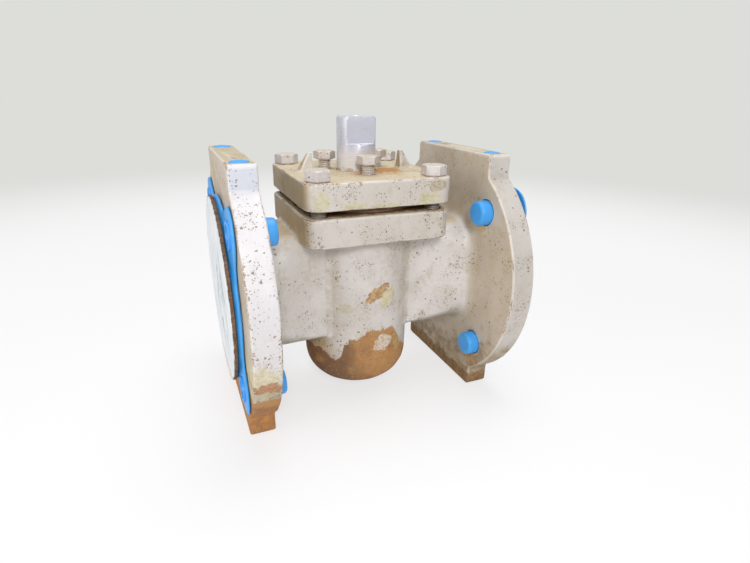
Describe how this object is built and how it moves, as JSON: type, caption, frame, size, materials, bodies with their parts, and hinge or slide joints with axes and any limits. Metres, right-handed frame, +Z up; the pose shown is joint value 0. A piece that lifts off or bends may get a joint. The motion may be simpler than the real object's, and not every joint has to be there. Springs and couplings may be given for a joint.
{
  "type": "plug valve",
  "caption": "Flanged quarter-turn plug valve: cast body with feet and bracket pads, sleeved tapered plug with a flatted stem, bolted square cover with adjusters, push-in flange caps.",
  "frame": {"origin": "on the floor between the two foot pads, straight below the stem", "axes": "+Z up along the stem, +X along the pipe, +Y away from the side that the picture shows"},
  "size_m": [0.2128, 0.1904, 0.2142],
  "materials": {
    "silver_paint": "worn silver paint over a casting, rusted low down",
    "stem_steel": "machined bare steel",
    "bolt_paint": "silver paint over bolts",
    "adjuster_steel": "dull paint, rusted thread",
    "ptfe_white": "smooth white PTFE",
    "diaphragm_steel": "stained thin steel",
    "collar_steel": "turned steel",
    "blue_plastic": "moulded polyethylene",
    "board": "hardboard, scuffed pale face and brown edge"
  },
  "bodies": {
    "valve_body": {"body": "silver_paint", "sleeve": "ptfe_white", "top_cover": "silver_paint", "ptfe_diaphragm": "ptfe_white", "steel_diaphragm": "diaphragm_steel", "thrust_collar": "collar_steel", "cover_bolt_1": "bolt_paint", "cover_bolt_2": "bolt_paint", "cover_bolt_3": "bolt_paint", "cover_bolt_4": "bolt_paint", "pad_plug_1": "blue_plastic", "pad_plug_2": "blue_plastic", "pad_plug_3": "blue_plastic", "pad_plug_4": "blue_plastic"},
    "plug": {"plug": "stem_steel"},
    "adjuster_1": {"adjuster_bolt_1": "adjuster_steel"},
    "adjuster_2": {"adjuster_bolt_2": "adjuster_steel"},
    "adjuster_3": {"adjuster_bolt_3": "adjuster_steel"},
    "cap_left": {"flange_cap_left": "blue_plastic", "cap_board_left": "board"},
    "cap_right": {"flange_cap_right": "blue_plastic", "cap_board_right": "board"}
  },
  "joints": [
    {"name": "plug_turn", "type": "hinge", "parent": "valve_body", "child": "plug", "pos_m": [0, 0, 0.09525], "axis": [0, 0, -1], "range_deg": [0, 90]},
    {"name": "adjuster_1_turn", "type": "hinge", "parent": "valve_body", "child": "adjuster_1", "pos_m": [0, -0.024, 0.18325], "axis": [0, 0, 1], "range_deg": [0, 360]},
    {"name": "adjuster_2_turn", "type": "hinge", "parent": "valve_body", "child": "adjuster_2", "pos_m": [0.02078, 0.012, 0.18325], "axis": [0, 0, 1], "range_deg": [0, 360]},
    {"name": "adjuster_3_turn", "type": "hinge", "parent": "valve_body", "child": "adjuster_3", "pos_m": [-0.02078, 0.012, 0.18325], "axis": [0, 0, 1], "range_deg": [0, 360]},
    {"name": "cap_left_pull", "type": "slide", "parent": "valve_body", "child": "cap_left", "axis": [-1, 0, 0], "range_m": [0, 0.028]},
    {"name": "cap_right_pull", "type": "slide", "parent": "valve_body", "child": "cap_right", "axis": [1, 0, 0], "range_m": [0, 0.028]}
  ]
}
